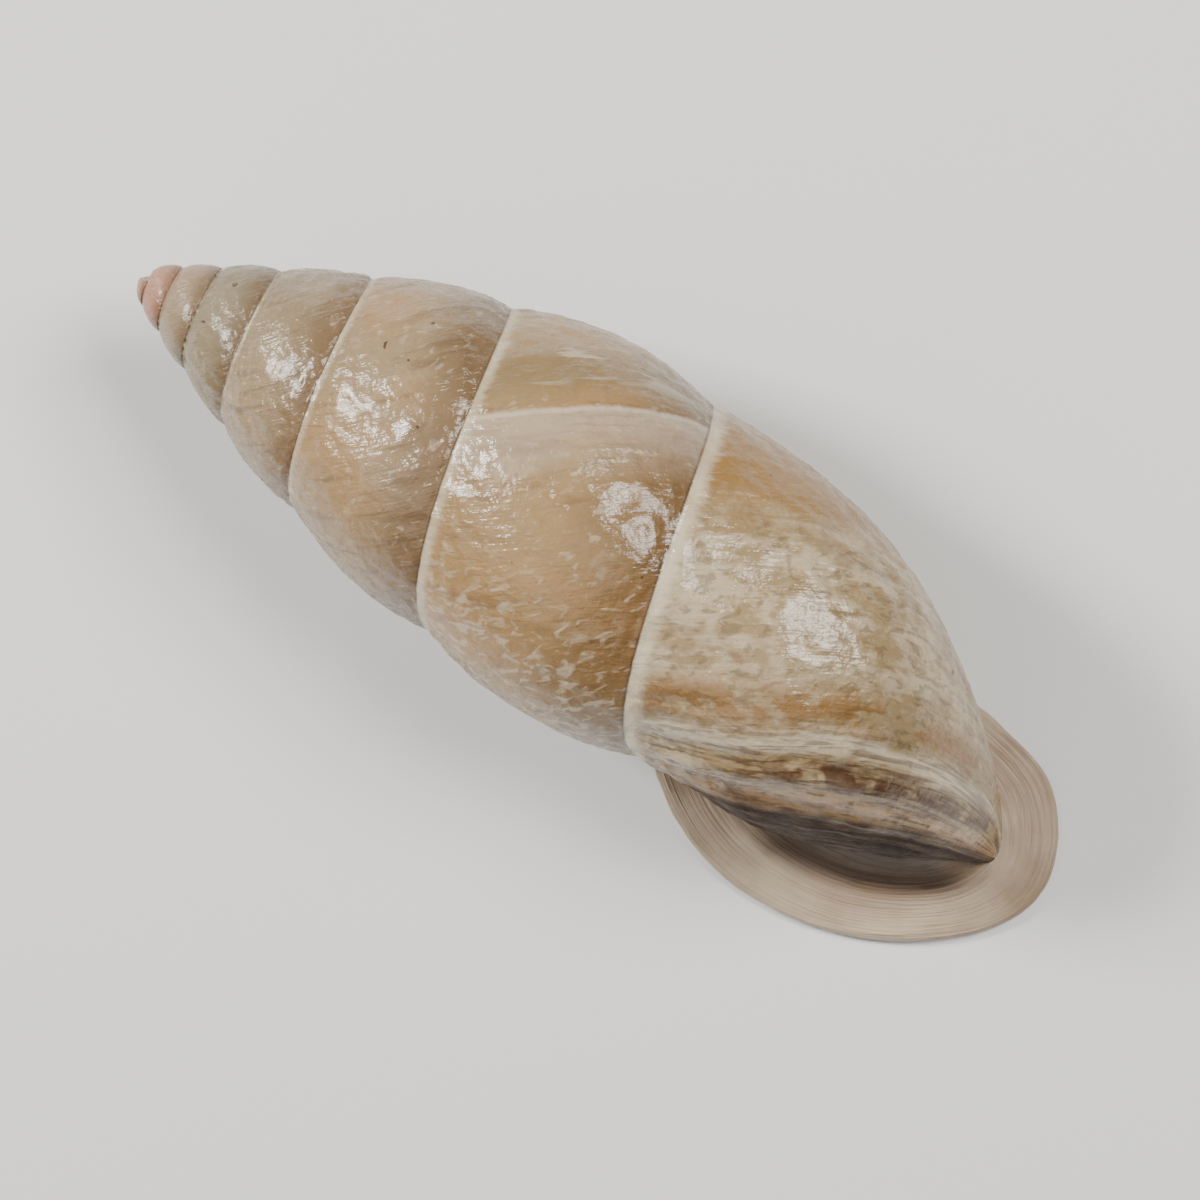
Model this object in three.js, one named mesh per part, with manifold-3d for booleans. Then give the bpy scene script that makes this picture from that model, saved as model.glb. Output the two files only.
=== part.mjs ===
// The shell of a land snail: a tall right-handed spiral with a broad flared lip round its mouth,
// lying mouth down. It is one hollow piece: the coiled wall and the lip are joined, and the
// chamber the animal lived in is cut out of them, from the mouth up through three whorls.
//
// The shell is built in its own frame: x runs from the tip of the spire to the lip, y across,
// and z away from the mouth, so that the back of the shell is up. Turns are counted from the tip.
import * as THREE from 'three';
import { mergeVertices } from 'three/addons/utils/BufferGeometryUtils.js';
import Module from 'manifold-3d';

// ---- Driving dimensions, in millimetres and turns

const SUTURE_X = [0, 0.62, 2.35, 4.9, 8.7, 14.8, 24.6, 40.8, 59.5, 78]; // the seam, at each whole turn
const TURNS = 7.62; // where the wall ends at the mouth
const BODY_RADIUS = 12.85;
const WIDEST_X = 41;
const BASE_X = 76.6; // where the last whorl closes round the axis
const SPIRE_CURVE = [2.12, 0.94]; // how the seams' radius grows from the tip: a blunt dome
const TIP_DOME = 1.1; // the tip is blunter than that: this much more, fading over TIP_LENGTH
const TIP_LENGTH = 2;
const BASE_CURVE = [2, 3.1]; // how late the base tapers, on its early side and on its left side
const HUMP_CURVE = 2.3; // higher is flatter across the middle of a whorl
const LAST_WHORL = [6.62, 7]; // over these turns the last whorl's hump stretches on to the base
const LAST_SPAN = 1.4;
const LEAN = -1.7; // the young tip stands a little off the axis of the later whorls
const LEAN_LENGTH = 30;
const BASE_DRIFT = [-4, -12]; // the axis bends towards the mouth at the base, in y and z
const BASE_DRIFT_FROM = 55;
const LEFT_SIDE = 7.5; // past this turn the last wall runs straight down to the mouth
const WALL_FOOT_Z = -12.4;
const WALL_FOOT_RISE = 4.2; // the foot of the wall rises to the seam at the mouth's narrow end

const LIP_EDGE = [
  // the free edge of the lip, round the outer side, the base, the columella and the belly
  [51.6, -12.4, -9.2],
  [57.4, -15.7, -12.3],
  [63.6, -16.4, -13.0],
  [69.8, -15.2, -13.0],
  [75.4, -12.2, -12.9],
  [79.4, -8.4, -12.8],
  [80.9, -4.2, -12.6],
  [79.6, 0.0, -12.4],
  [76.6, 3.1, -12.0],
  [71.5, 4.6, -11.3],
  [65.0, 4.9, -9.6],
  [58.0, 3.6, -11.2],
  [52.8, -0.8, -12.5],
  [50.0, -5.8, -11.4],
  [49.8, -10.0, -8.0],
];
const MOUTH_CENTRE = [65.2, -5.9];
const MOUTH_SCALE = [0.62, 0.5]; // the opening against the lip's outline, along x and y
const LIP_HALF = [15.5, 10.6]; // half the lip's length and breadth
const MOUTH_Z = -12.9;
const MOUTH_CORNER_RISE = 2.4; // the mouth's narrow end rises towards the seam
// The lip's surface, ring by ring from the mouth over its front and free edge to its root in the
// wall: how far each ring lies from the free edge (0) to the mouth (1), and its height above the
// front face.
const LIP_RINGS = [
  [1.3, 0.3],
  [0.9, -0.1],
  [0.45, -0.2],
  [0.08, 0.0],
  [0.0, 0.6],
  [0.1, 1.2],
  [0.5, 1.5],
  [0.9, 2.3],
  [1.1, 4.6],
  [1.5, 8.5],
];

const WALL = 1.15;
const CORNER_WALL = 3.4; // the wall is thicker in the mouth's narrow corner
const COLUMELLA_RADIUS = 1.5; // the pillar inside the whorls
const PILLAR_TIP_RADIUS = 0.5;
const BASE_WALL = 3.6; // between the chamber's far end and the base
const THROAT = [6.7, 7.45]; // over these turns the chamber opens out into the mouth
const MOUTH_WALL = 1.1; // the mouth's sides stand straight for this height, then close in
const FUNNEL_HEIGHT = 3.4; // and have reached the wall of the throat at this height
const CHAMBER_TOP = 4.2; // the chamber reaches up to this turn, and the tip above it is filled
const CHAMBER_SLOPE = 0.32; // the floor of each whorl falls towards the pillar

// How the shell lies on the ground, and the height of its axis at the tip. It is low enough for
// the ground to wear a small flat on the belly and one on the lip.
const PITCH = THREE.MathUtils.degToRad(0.33);
const ROLL = THREE.MathUtils.degToRad(-1.5);
const AXIS_HEIGHT = 13.0;

const STEPS_PER_TURN = 32;
const ARC_STEPS = 8; // from one seam to the next
const BASE_STEPS = 7; // from the last seam line to the base
const LIP_STEPS = 44;
const CHAMBER_SIDES = 20;
const CHAMBER_STEPS_PER_TURN = 22;

// ---- Growth: the shape of the coil as formulas of the turn and of the place along the axis

function smooth(from, to, value) {
  return THREE.MathUtils.smoothstep(value, from, to);
}

// A smooth curve through values given at 0, 1, 2 and so on.
function through(values, at) {
  const last = values.length - 1;
  const k = Math.min(Math.max(Math.floor(at), 0), last - 1);
  const value = (i) => {
    if (i < 0) return 2 * values[0] - values[1];
    if (i > last) return 2 * values[last] - values[last - 1];
    return values[i];
  };
  const [a, b, c, d] = [k - 1, k, k + 1, k + 2].map(value);
  const f = at - k;
  return 0.5 * (2 * b + (c - a) * f + (2 * a - 5 * b + 4 * c - d) * f * f + (3 * b - a - 3 * c + d) * f ** 3);
}

function sutureX(turn) {
  return Math.max(through(SUTURE_X, turn), 0);
}

// The radius at the seams: a blunt dome to the widest place, then the last whorl's tapering base,
// which is bluntest over the back.
function envelope(turn, x) {
  if (x < WIDEST_X) {
    const spire = Math.max(1 - (1 - x / WIDEST_X) ** SPIRE_CURVE[0], 0) ** SPIRE_CURVE[1];
    return BODY_RADIUS * spire + TIP_DOME * Math.sqrt(x) * Math.exp(-x / TIP_LENGTH);
  }
  const fullness = THREE.MathUtils.lerp(...BASE_CURVE, smooth(6.8, LEFT_SIDE, turn));
  const bluntness = 1 - 0.5 * smooth(6.95, 7.2, turn) * (1 - smooth(7.28, LEFT_SIDE, turn));
  const beyond = Math.min((x - WIDEST_X) / (BASE_X - WIDEST_X), 1);
  return BODY_RADIUS * (1 - beyond ** fullness) ** bluntness;
}

// How far the whorl swells out between its seams, as a share of its height.
function swelling(turn) {
  return 0.105 - 0.042 * smooth(2, 4.5, turn) - 0.039 * smooth(6.3, 7, turn);
}

function radius(turn, x) {
  const height = sutureX(turn + 1) - sutureX(turn);
  const span = THREE.MathUtils.lerp(1, LAST_SPAN, smooth(...LAST_WHORL, turn));
  const across = THREE.MathUtils.clamp((x - sutureX(turn)) / height / span, 0, 1);
  const hump = 1 - Math.abs(2 * across - 1) ** HUMP_CURVE;
  // The last whorl leaves the one above it at that whorl's own radius.
  const rim = THREE.MathUtils.lerp(envelope(turn - 1, x), envelope(turn, x), smooth(0, 0.4, across));
  return rim + swelling(turn) * height * hump;
}

function axisAt(x) {
  const drift = Math.max((x - BASE_DRIFT_FROM) / (BASE_X - BASE_DRIFT_FROM), 0) ** 2.2;
  const lean = LEAN * Math.max(1 - x / LEAN_LENGTH, 0) ** 1.3;
  return new THREE.Vector3(x, lean + BASE_DRIFT[0] * drift, BASE_DRIFT[1] * drift);
}

function around(turn, x, r) {
  const angle = 2 * Math.PI * turn;
  return axisAt(x).add(new THREE.Vector3(0, r * Math.cos(angle), r * Math.sin(angle)));
}

function wallPoint(turn, x) {
  const point = around(turn, x, radius(turn, x));
  if (turn <= LEFT_SIDE) return point;
  const straight = around(LEFT_SIDE, x, radius(LEFT_SIDE, x));
  const foot = WALL_FOOT_Z + WALL_FOOT_RISE * (1 - smooth(51, 60, x));
  straight.z = THREE.MathUtils.lerp(straight.z, foot, (turn - LEFT_SIDE) / (TURNS - LEFT_SIDE));
  return point.lerp(straight, smooth(50.5, 55.5, x) * (1 - smooth(72, BASE_X, x)));
}

// ---- Closed meshes

function closedMesh(points, triangles) {
  const geometry = new THREE.BufferGeometry().setFromPoints(points);
  geometry.setIndex(triangles);
  return geometry;
}

const wasm = await Module();
wasm.setup();

function solid(geometry) {
  return new wasm.Manifold(
    new wasm.Mesh({
      numProp: 3,
      vertProperties: new Float32Array(geometry.attributes.position.array),
      triVerts: new Uint32Array(geometry.index.array),
    }),
  );
}

// The skin over a row of rings with the same number of points each, closed by a fan at both ends.
function loft(rings) {
  const sides = rings[0].length;
  const points = rings.flat();
  const triangles = [];
  for (let i = 0; i + 1 < rings.length; i++) {
    for (let j = 0; j < sides; j++) {
      const [a, b] = [i * sides + j, i * sides + ((j + 1) % sides)];
      triangles.push(a, b, b + sides, a, b + sides, a + sides);
    }
  }
  for (const [ring, first, flip] of [[rings[0], 0, true], [rings.at(-1), points.length - sides, false]]) {
    const centre = ring.reduce((sum, p) => sum.add(p), new THREE.Vector3()).divideScalar(sides);
    const middle = points.push(centre) - 1;
    for (let j = 0; j < sides; j++) {
      const [a, b] = [first + j, first + ((j + 1) % sides)];
      triangles.push(...(flip ? [middle, b, a] : [middle, a, b]));
    }
  }
  return closedMesh(points, triangles);
}

// ---- The coiled wall: a ribbon that winds down the axis, each turn's lower edge welded to the
// next turn's upper edge, which leaves the seam as a crease. The last turn runs on to the base.

function coil() {
  const last = Math.round(TURNS * STEPS_PER_TURN);
  const lastTurn = last - STEPS_PER_TURN;
  const points = [];
  const rows = [];
  const add = (turn, x) => points.push(wallPoint(turn, x)) - 1;
  const tip = points.push(axisAt(0)) - 1;
  const base = points.push(axisAt(BASE_X)) - 1;

  for (let i = 0; i <= last; i++) {
    const turn = i / STEPS_PER_TURN;
    const top = sutureX(turn);
    const bottom = sutureX(turn + 1);
    const above = rows[i - STEPS_PER_TURN];
    const row = [above ? above[ARC_STEPS] : i === 0 ? tip : add(turn, top)];
    for (let j = 1; j <= ARC_STEPS; j++) row.push(add(turn, top + ((bottom - top) * j) / ARC_STEPS));
    if (i >= lastTurn) {
      for (let j = 1; j < BASE_STEPS; j++) {
        row.push(add(turn, bottom + (BASE_X - bottom) * Math.sin((Math.PI / 2) * (j / BASE_STEPS))));
      }
      row.push(base);
    }
    rows.push(row);
  }

  const triangles = [];
  const face = (a, b, c) => {
    if (a !== b && b !== c && c !== a) triangles.push(a, b, c);
  };
  for (let i = 0; i < last; i++) {
    const [row, next] = [rows[i], rows[i + 1]];
    for (let j = 0; j + 1 < Math.min(row.length, next.length); j++) {
      face(row[j], next[j], next[j + 1]);
      face(row[j], next[j + 1], row[j + 1]);
    }
  }
  // The top and the start of the first turn, and the flat end of the wall at the mouth.
  for (let i = 0; i < STEPS_PER_TURN; i++) face(tip, rows[i + 1][0], rows[i][0]);
  for (let j = 0; j < ARC_STEPS; j++) face(tip, rows[0][j], rows[0][j + 1]);
  const [outer, inner] = [rows[last], rows[lastTurn].slice(ARC_STEPS)];
  let [i, j] = [0, 0];
  while (i + 1 < outer.length || j + 1 < inner.length) {
    const outerNext = i / (outer.length - 1) <= j / (inner.length - 1) && i + 1 < outer.length;
    if (outerNext) face(outer[i + 1], outer[i++], inner[j]);
    else face(inner[j], inner[++j], outer[i]);
  }
  return closedMesh(points, triangles);
}

// ---- The lip and the mouth

const lipEdge = new THREE.CatmullRomCurve3(LIP_EDGE.map((p) => new THREE.Vector3(...p)), true, 'centripetal');

// A point of the lip: `inward` runs from its free edge, 0, to the edge of the mouth, 1.
function lipPoint(share, inward, lift) {
  const edge = lipEdge.getPoint(share);
  const mouthX = MOUTH_CENTRE[0] + (edge.x - MOUTH_CENTRE[0]) * MOUTH_SCALE[0];
  const mouthY = MOUTH_CENTRE[1] + (edge.y - MOUTH_CENTRE[1]) * MOUTH_SCALE[1];
  const corner = THREE.MathUtils.clamp((MOUTH_CENTRE[0] - mouthX) / 10, 0, 1);
  const mouth = new THREE.Vector3(mouthX, mouthY, MOUTH_Z + MOUTH_CORNER_RISE * corner ** 2);
  return edge.lerp(mouth, inward).add(new THREE.Vector3(0, 0, lift));
}

function lipRing(sides, inward, lift) {
  return Array.from({ length: sides }, (_, k) => lipPoint(k / sides, inward, lift));
}

function lip() {
  return loft(LIP_RINGS.map(([inward, lift]) => lipRing(LIP_STEPS, inward, lift)));
}

// ---- The chamber: a tube from below the mouth, up behind the last wall and back along the
// whorls, everywhere a wall's thickness inside them.

// One point of the chamber's section at a turn. Its angle goes round the section.
function chamberPoint(turn, angle) {
  const late = smooth(...THROAT, turn);
  const top = sutureX(turn) + WALL * 0.6 + CORNER_WALL * late;
  const bottom = THREE.MathUtils.lerp(sutureX(turn + 1) - WALL * 0.5, BASE_X - BASE_WALL, late);
  const outside = radius(turn, (top + bottom) / 2) - WALL;
  const pillar = PILLAR_TIP_RADIUS + COLUMELLA_RADIUS * smooth(3, 7, turn);
  const r = (outside + pillar) / 2 + ((outside - pillar) / 2) * Math.sin(angle);
  const slope = CHAMBER_SLOPE * (1 - late) * (bottom - top) * (1 - (r - pillar) / (outside - pillar));
  const x = (top + bottom) / 2 + ((bottom - top) / 2) * Math.cos(angle) + slope;
  const limit = Math.min(radius(turn, x), radius(turn, Math.min(x + WALL, BASE_X))) - WALL;
  return around(turn, x, Math.min(r, Math.max(limit, pillar)));
}

function chamber() {
  const sectionAngle = (share) => {
    const p = lipPoint(share, 1, 0);
    return Math.atan2(
      (MOUTH_CENTRE[1] - p.y) / MOUTH_SCALE[1] / LIP_HALF[1],
      (p.x - MOUTH_CENTRE[0]) / MOUTH_SCALE[0] / LIP_HALF[0],
    );
  };
  const section = (turn) =>
    Array.from({ length: CHAMBER_SIDES }, (_, k) => chamberPoint(turn, sectionAngle(k / CHAMBER_SIDES)));
  const mouth = lipRing(CHAMBER_SIDES, 1, 0);
  const throat = section(LEFT_SIDE);
  const rings = [
    mouth.map((p) => p.clone().setZ(MOUTH_Z - 4)),
    mouth,
    lipRing(CHAMBER_SIDES, 1.04, MOUTH_WALL),
    mouth.map((p, k) => p.clone().lerp(throat[k], 0.92).setZ(p.z + FUNNEL_HEIGHT)),
    mouth.map((p, k) => throat[k].clone().setZ((p.z + FUNNEL_HEIGHT + throat[k].z) / 2)),
    throat,
  ];
  const steps = Math.round((LEFT_SIDE - CHAMBER_TOP) * CHAMBER_STEPS_PER_TURN);
  for (let i = 1; i <= steps; i++) rings.push(section(LEFT_SIDE - i / CHAMBER_STEPS_PER_TURN));
  return loft(rings);
}

// ---- The whole shell, laid on the ground

const lay = new THREE.Matrix4()
  .makeTranslation(0, 0, AXIS_HEIGHT)
  .multiply(new THREE.Matrix4().makeRotationY(PITCH))
  .multiply(new THREE.Matrix4().makeRotationX(ROLL));
const laid = (geometry) => solid(geometry.applyMatrix4(lay));
const DEEP = 20;
const ground = new THREE.BoxGeometry(3 * BASE_X, 3 * BASE_X, DEEP).translate(0, 0, -DEEP / 2);
ground.deleteAttribute('normal');
ground.deleteAttribute('uv');

const cut = laid(coil()).add(laid(lip())).subtract(laid(chamber())).subtract(solid(mergeVertices(ground)));
// The cuts can leave crumbs of the wall's foot loose in the mouth: only the shell itself is kept.
const [shell] = cut.decompose().sort((a, b) => b.volume() - a.volume());
const { vertProperties, triVerts } = shell.getMesh();
const geometry = new THREE.BufferGeometry();
geometry.setAttribute('position', new THREE.BufferAttribute(vertProperties, 3));
geometry.setIndex([...triVerts]);
geometry.computeVertexNormals();
geometry.computeBoundingBox();
const middle = geometry.boundingBox.getCenter(new THREE.Vector3());
geometry.translate(-middle.x, -middle.y, 0);

const material = new THREE.MeshStandardMaterial({ color: 0xb39a72, roughness: 0.35, metalness: 0 });
const mesh = new THREE.Mesh(geometry, material);
mesh.name = 'shell';
const group = new THREE.Group();
group.add(mesh);
export default group;
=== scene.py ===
# %% [markdown]
# # The shell of a land snail
#
# A snail's shell is one piece of lime, grown at its rim for years. The animal adds a thin strip to
# the rim, turns, and adds another. So every mark on the shell is either a rim that once was, which
# is a growth line, or something that runs along the spiral, such as the seam between two turns.
#
# That is also a good way to model one. Nothing here is sculpted freely. Each point of the skin
# knows its turn, counted from the tip, and how far across the whorl it lies, and both the shape
# and the colours are written as functions of those two numbers.

import bpy
import numpy as np
from mathutils import Matrix, Vector, noise


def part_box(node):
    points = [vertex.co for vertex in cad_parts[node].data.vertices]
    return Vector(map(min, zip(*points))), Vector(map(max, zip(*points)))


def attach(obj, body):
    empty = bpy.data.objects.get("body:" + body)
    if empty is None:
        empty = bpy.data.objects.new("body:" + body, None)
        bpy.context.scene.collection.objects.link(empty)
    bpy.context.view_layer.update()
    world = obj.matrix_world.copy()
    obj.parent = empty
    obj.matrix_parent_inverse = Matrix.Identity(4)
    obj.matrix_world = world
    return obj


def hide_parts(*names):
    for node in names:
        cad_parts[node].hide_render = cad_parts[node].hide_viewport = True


MM = 0.001
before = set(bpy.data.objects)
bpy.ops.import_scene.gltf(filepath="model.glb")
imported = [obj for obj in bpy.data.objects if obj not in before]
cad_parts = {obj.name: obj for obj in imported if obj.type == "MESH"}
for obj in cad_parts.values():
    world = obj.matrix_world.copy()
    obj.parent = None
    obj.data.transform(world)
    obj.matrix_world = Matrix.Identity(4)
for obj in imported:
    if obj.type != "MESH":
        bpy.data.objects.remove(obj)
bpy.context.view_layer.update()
low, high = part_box("shell")
print("the shell's box in mm:", [round(v / MM, 1) for v in (*low, *high)])

# %% [markdown]
# ## Growth, written down once
#
# A few driving sizes describe the whole coil: where the seam stands at each whole turn, how wide
# the widest whorl is, and where the base closes. Everything is in millimetres, in the shell's own
# frame: x from the tip to the lip, y across, and z from the mouth towards the back.

# %% Driving sizes of the coil
SEAM_X = [0, 0.62, 2.35, 4.9, 8.7, 14.8, 24.6, 40.8, 59.5, 78]
TURNS = 7.62
LEFT_SIDE = 7.5
BODY_RADIUS = 12.85
WIDEST_X = 41
BASE_X = 76.6
print("the coil in mm:", BASE_X, "long and", 2 * BODY_RADIUS, "wide, in", TURNS, "turns")

# %% [markdown]
# ## Helpers for curves
#
# Numpy works on all points at once, so each formula takes and gives whole arrays. Two helpers do
# most of the work: an even step from 0 to 1, and a smooth curve through a short list of values.

# %% Curves


def smooth(low, high, value):
    share = np.clip((value - low) / (high - low), 0, 1)
    return share * share * (3 - 2 * share)


def mix(a, b, share):
    return a + (b - a) * share


def through(values, at):
    """A smooth curve through values given at 0, 1, 2 and so on."""
    ends = np.array([2 * values[0] - values[1], *values, 2 * values[-1] - values[-2]], float)
    k = np.clip(np.floor(at).astype(int), 0, len(values) - 2)
    a, b, c, d = (ends[k + i] for i in range(4))
    f = at - k
    bend = (2 * a - 5 * b + 4 * c - d) * f + (3 * b - a - 3 * c + d) * f * f
    return b + 0.5 * f * (c - a + bend)


def seam_x(turn):
    return np.maximum(through(SEAM_X, turn), 0)


print("the seam at each whole turn, mm:", np.round(seam_x(np.arange(9.0)), 1))

# %% [markdown]
# ## The outline
#
# A line laid over all the seams is a blunt dome that ends in a tapering base. The base closes more
# fully on the side that ends in the mouth, and that side is blunter just before it. The very tip
# of a snail's shell is the rounded cap of the hatchling, so a little is added there.

# %% Outline over the seams
SPIRE_CURVE = (2.12, 0.94)
BASE_CURVE = (2, 3.1)
FULLER_FROM = 6.8
BLUNT = 0.5
BLUNT_FROM = (6.95, 7.2)
BLUNT_TO = (7.28, LEFT_SIDE)
TIP_DOME = 1.1
TIP_LENGTH = 2


def envelope(turn, x):
    """The radius at the seams."""
    before = np.maximum(1 - x / WIDEST_X, 0)
    spire = BODY_RADIUS * (1 - before ** SPIRE_CURVE[0]) ** SPIRE_CURVE[1]
    spire = spire + TIP_DOME * np.sqrt(x) * np.exp(-x / TIP_LENGTH)
    fullness = mix(*BASE_CURVE, smooth(FULLER_FROM, LEFT_SIDE, turn))
    bluntness = 1 - BLUNT * smooth(*BLUNT_FROM, turn) * (1 - smooth(*BLUNT_TO, turn))
    beyond = np.clip((x - WIDEST_X) / (BASE_X - WIDEST_X), 0, 1)
    return np.where(x < WIDEST_X, spire, BODY_RADIUS * (1 - beyond**fullness) ** bluntness)


print("radius halfway up the spire, mm:", round(float(envelope(5.0, np.array(WIDEST_X / 2))), 2))

# %% [markdown]
# ## The whorls
#
# Between two seams a whorl bulges out beyond that line. Young whorls bulge more for their height
# than old ones, and the last whorl spreads its bulge over a longer span, because it has no next
# whorl below it.

# %% Bulge of the whorls
HUMP_CURVE = 2.3
SWELLING = 0.105
SWELLING_LOST = (0.042, 0.039)
GROWING_UP = (2, 4.5)
GROWING_OLD = (6.3, 7)
LAST_WHORL = (6.62, 7)
LAST_SPAN = 1.4
RIM_BLEND = 0.4


def radius(turn, x):
    """The distance from the axis to the outside of the wall."""
    height = seam_x(turn + 1) - seam_x(turn)
    span = mix(1, LAST_SPAN, smooth(*LAST_WHORL, turn))
    across = np.clip((x - seam_x(turn)) / height / span, 0, 1)
    hump = 1 - np.abs(2 * across - 1) ** HUMP_CURVE
    young, old = SWELLING_LOST
    swelling = SWELLING - young * smooth(*GROWING_UP, turn) - old * smooth(*GROWING_OLD, turn)
    rim = mix(envelope(turn - 1, x), envelope(turn, x), smooth(0, RIM_BLEND, across))
    return rim + swelling * height * hump


print("widest whorl in mm:", round(2 * float(radius(6.0, np.array(35.0))), 1))

# %% [markdown]
# ## Points on the wall
#
# The axis isn't quite straight: the tip leans to one side, and the base drifts down to the mouth.
# Past the left side the wall stops turning and drops straight down, which leaves it standing over
# the mouth like the side of a tent.

# %% Points on the wall
LEAN = -1.7
LEAN_LENGTH = 30
LEAN_CURVE = 1.3
BASE_DRIFT = (-4, -12)
BASE_DRIFT_FROM = 55
BASE_DRIFT_CURVE = 2.2
WALL_FOOT_Z = -12.4
WALL_FOOT_RISE = 4.2
FOOT_RISE_SPAN = (51, 60)
STRAIGHT_FROM = (50.5, 55.5)
STRAIGHT_TO = (72, BASE_X)


def around(turn, x, r):
    """Points at a turn, a place along the axis and a distance from the axis."""
    beyond = np.maximum((x - BASE_DRIFT_FROM) / (BASE_X - BASE_DRIFT_FROM), 0)
    drift = beyond**BASE_DRIFT_CURVE
    lean = LEAN * np.maximum(1 - x / LEAN_LENGTH, 0) ** LEAN_CURVE
    angle = 2 * np.pi * turn
    y = lean + BASE_DRIFT[0] * drift + r * np.cos(angle)
    z = BASE_DRIFT[1] * drift + r * np.sin(angle)
    return np.stack([x + 0 * r, y, z], axis=-1)


def wall_point(turn, x, lift=0):
    """The outside of the wall, raised by `lift`."""
    point = around(turn, x, radius(turn, x) + lift)
    left = LEFT_SIDE + 0 * turn
    straight = around(left, x, radius(left, x) + lift)
    foot = WALL_FOOT_Z + WALL_FOOT_RISE * (1 - smooth(*FOOT_RISE_SPAN, x))
    down = np.clip((turn - LEFT_SIDE) / (TURNS - LEFT_SIDE), 0, 1)
    straight[..., 2] = mix(straight[..., 2], foot, down)
    share = (turn > LEFT_SIDE) * smooth(*STRAIGHT_FROM, x) * (1 - smooth(*STRAIGHT_TO, x))
    return mix(point, straight, share[..., None])


top_of_back = wall_point(np.array([6.25]), np.array([40.0]))[0]
print("a point on the back, mm:", np.round(top_of_back, 2))

# %% [markdown]
# ## How the shell lies
#
# The shell lies mouth down, with its axis nearly level: the lip and the belly carry it, so the axis
# is pitched and rolled by a hair. This matrix lays the shell's own frame on the ground.

# %% Laying the shell down
PITCH = np.radians(0.33)
ROLL = np.radians(-1.5)
AXIS_HEIGHT = 13.0
MIDDLE = (40.404, -1.560)
LAY = Matrix.Translation((-MIDDLE[0], -MIDDLE[1], AXIS_HEIGHT))
LAY = LAY @ Matrix.Rotation(PITCH, 4, "Y") @ Matrix.Rotation(ROLL, 4, "X")


def laid(points):
    """From the shell's own frame in millimetres to the ground's frame in metres."""
    flat = np.c_[points.reshape(-1, 3), np.ones(points.size // 3)]
    return (flat @ np.array(LAY).T)[:, :3] * MM


print("that point on the ground, mm:", np.round(laid(top_of_back)[0] / MM, 2))

# %% [markdown]
# ## A sheet of squares, bent round
#
# The coil, the lip and the chamber are all long sheets whose edges meet. So each one starts as a
# grid primitive of unit size. Its points are laid on the formula, its edges are welded where they
# meet, and the holes left at its ends are filled. Extruding a ring by hand hundreds of times would
# give the same mesh, only with more room for slips.
#
# Each point's two numbers are also written into a UV map called `growth`, for the materials. A UV
# map belongs to the corners of faces, so a welded seam can have the end of one whorl on one side
# and the start of the next on the other.

# %% A bent sheet


def only(thing):
    """Makes `thing` the one selected and active object."""
    bpy.ops.object.select_all(action="DESELECT")
    thing.select_set(True)
    bpy.context.view_layer.objects.active = thing


def sheet(name, columns, rows, place):
    """A grid bent to `place(u, v)`, which gives points and the pair for the growth map."""
    bpy.ops.object.select_all(action="DESELECT")
    bpy.ops.mesh.primitive_grid_add(x_subdivisions=columns, y_subdivisions=rows, size=1)
    piece = bpy.context.object
    piece.name = name
    mesh = piece.data
    grid = np.empty(len(mesh.vertices) * 3)
    mesh.vertices.foreach_get("co", grid)
    u = np.round((grid[0::3] + 0.5) * columns) / columns
    v = np.round((grid[1::3] + 0.5) * rows) / rows
    points, growth = place(u, v)
    mesh.vertices.foreach_set("co", laid(points).astype(np.float32).ravel())
    corner = np.empty(len(mesh.loops), np.int32)
    mesh.loops.foreach_get("vertex_index", corner)
    layer = mesh.uv_layers.active
    layer.name = "growth"
    layer.data.foreach_set("uv", growth[corner].astype(np.float32).ravel())
    mesh.update()
    print(f"{name}: a sheet of {columns} by {rows}")
    return piece


# %% [markdown]
# ## Closing a sheet
#
# A weld joins only points that lie in the same place, so its distance is tiny. Near the tip and the
# pole of the base the faces are so small that a wider weld would eat them. Filling the holes one by
# one matters too, because a plain fill can bridge two holes with one long skin.

# %% Welding and filling
WELD = 1e-7


def closed(piece):
    """Welds the edges that meet, fills the holes left, and turns the faces outwards."""
    only(piece)
    bpy.ops.object.mode_set(mode="EDIT")
    bpy.ops.mesh.select_all(action="SELECT")
    bpy.ops.mesh.remove_doubles(threshold=WELD)
    bpy.ops.mesh.select_all(action="DESELECT")
    bpy.ops.mesh.select_mode(type="EDGE")
    bpy.ops.mesh.select_non_manifold()
    bpy.ops.mesh.fill_holes(sides=0)
    bpy.ops.mesh.select_all(action="SELECT")
    bpy.ops.mesh.normals_make_consistent(inside=False)
    bpy.ops.mesh.select_all(action="DESELECT")
    bpy.ops.mesh.select_non_manifold()
    bpy.ops.object.mode_set(mode="OBJECT")
    open_edges = sum(edge.select for edge in piece.data.edges)
    print(f"{piece.name}: {len(piece.data.polygons)} faces, {open_edges} open edges")
    return piece


# %% [markdown]
# ## Grain and growth lines
#
# The skin isn't smooth. It is hammered all over with small dents, crossed by growth lines, puckered
# along the seam, and folded and scarred where growth slowed near the lip. Soft noise gives the
# dents. A growth line doesn't run straight along the axis: the rim slants, so the age of a point is
# its turn plus a little of its way across the whorl, and an old rim is a line of equal age.

# %% Grain and growth lines
SLANT = 0.13


def grain(points, size, seed=0.0):
    """Soft noise from -1 to 1 at each point, with features about `size` across."""
    return np.array([noise.noise(p) for p in (points / size + seed).tolist()])


def streaks(turn, across, crowd, seed=0.0):
    """Noise in lines of equal age: quick along the turn and slow across the whorl."""
    along = (turn + SLANT * across) * crowd
    return grain(np.stack([along, across * 1.7, 0 * along + seed], axis=-1), 1)


def ridge(value, at, width):
    return np.exp(-(((value - at) / width) ** 2))


print("the rim slants by", SLANT, "of a turn across a whorl")

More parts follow.
